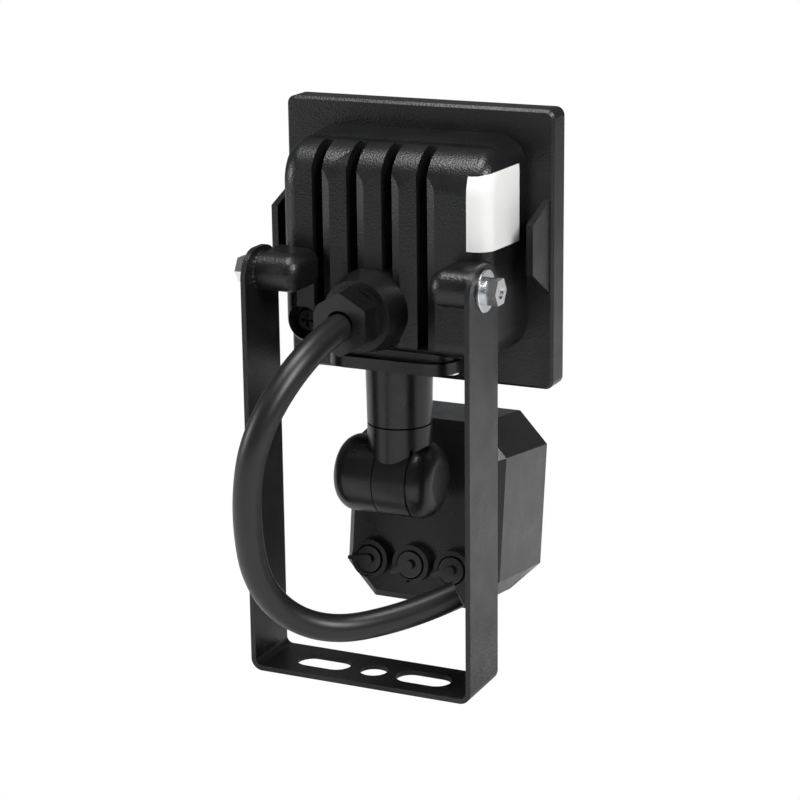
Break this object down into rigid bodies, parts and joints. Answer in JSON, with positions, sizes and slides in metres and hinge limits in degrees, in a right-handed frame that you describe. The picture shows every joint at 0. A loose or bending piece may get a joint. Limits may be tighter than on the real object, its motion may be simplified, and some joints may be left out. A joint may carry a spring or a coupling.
{
  "type": "motion sensor floodlight",
  "caption": "Small floodlight with a finned die-cast housing on a folded mounting bracket, a cable gland with a cable, and a swivelling motion sensor with setting knobs.",
  "frame": {"origin": "centre of the bracket base's underside, the face that goes against the wall, at the middle of its two slots", "axes": "+Z from the bracket's base to the lamp's pivot; the lamp shines along -Y; the pivot lies along X"},
  "size_m": [0.084, 0.1292, 0.1628],
  "materials": {
    "black_powder_coat_steel": "fine black powder coat",
    "black_powder_coat_alloy": "black powder coat on a die casting",
    "clear_glass": "clear toughened glass",
    "black_rubber": "moulded rubber",
    "cable_rubber": "satin rubber sheath",
    "reflector_foil": "bright formed sheet",
    "white_board": "white solder mask",
    "zinc_steel": "bright zinc",
    "stainless_steel": "plain stainless",
    "black_nylon": "moulded nylon",
    "black_abs": "finely textured moulding",
    "smoked_lens": "translucent black film",
    "green_board": "green solder mask",
    "part_plastic": "moulded plastic",
    "eye_metal": "nickel can",
    "knob_plastic": "moulded plastic"
  },
  "bodies": {
    "bracket": {"bracket": "black_powder_coat_steel"},
    "head": {"lamp_housing": "black_powder_coat_alloy", "glass_gasket": "black_rubber", "front_glass": "clear_glass", "led_board": "white_board", "reflector": "reflector_foil", "board_screw_left": "zinc_steel", "board_screw_right": "zinc_steel", "service_screw": "stainless_steel", "toothed_washer_left": "zinc_steel", "toothed_washer_right": "zinc_steel", "flat_washer_left": "zinc_steel", "flat_washer_right": "zinc_steel", "spring_washer_left": "zinc_steel", "spring_washer_right": "zinc_steel", "pivot_screw_left": "stainless_steel", "pivot_screw_right": "stainless_steel", "gland_body": "black_nylon", "gland_seal": "black_rubber", "gland_nut": "black_nylon", "power_cable": "cable_rubber", "sensor_mount": "black_abs", "mount_screw_left": "stainless_steel", "mount_screw_right": "stainless_steel"},
    "arm": {"lower_arm": "black_abs"},
    "sensor": {"sensor_shell": "black_abs", "knuckle_screw": "stainless_steel", "sensor_cover": "black_abs", "fresnel_lens": "smoked_lens", "sensor_board": "green_board", "motion_eye": "eye_metal", "relay": "part_plastic", "time_pot": "part_plastic", "light_pot": "part_plastic", "range_pot": "part_plastic"},
    "time_dial": {"time_knob": "knob_plastic"},
    "light_dial": {"light_knob": "knob_plastic"},
    "range_dial": {"range_knob": "knob_plastic"}
  },
  "joints": [
    {"name": "head_tilt", "type": "hinge", "parent": "bracket", "child": "head", "pos_m": [0, 0, 0.118], "axis": [1, 0, 0], "range_deg": [-100, 0]},
    {"name": "sensor_swivel", "type": "hinge", "parent": "head", "child": "arm", "pos_m": [0, -0.02, 0.065], "axis": [0, 0, 1], "range_deg": [-40, 40]},
    {"name": "sensor_tilt", "type": "hinge", "parent": "arm", "child": "sensor", "pos_m": [0, -0.02, 0.0548], "axis": [1, 0, 0], "range_deg": [-16, 22]},
    {"name": "time_turn", "type": "hinge", "parent": "sensor", "child": "time_dial", "pos_m": [0.0157, -0.03375, 0.02328], "axis": [0, 0.9903, 0.1392], "range_deg": [-135, 135]},
    {"name": "light_turn", "type": "hinge", "parent": "sensor", "child": "light_dial", "pos_m": [0.0021, -0.03375, 0.02328], "axis": [0, 0.9903, 0.1392], "range_deg": [-135, 135]},
    {"name": "range_turn", "type": "hinge", "parent": "sensor", "child": "range_dial", "pos_m": [-0.0115, -0.03375, 0.02328], "axis": [0, 0.9903, 0.1392], "range_deg": [-135, 135]}
  ]
}
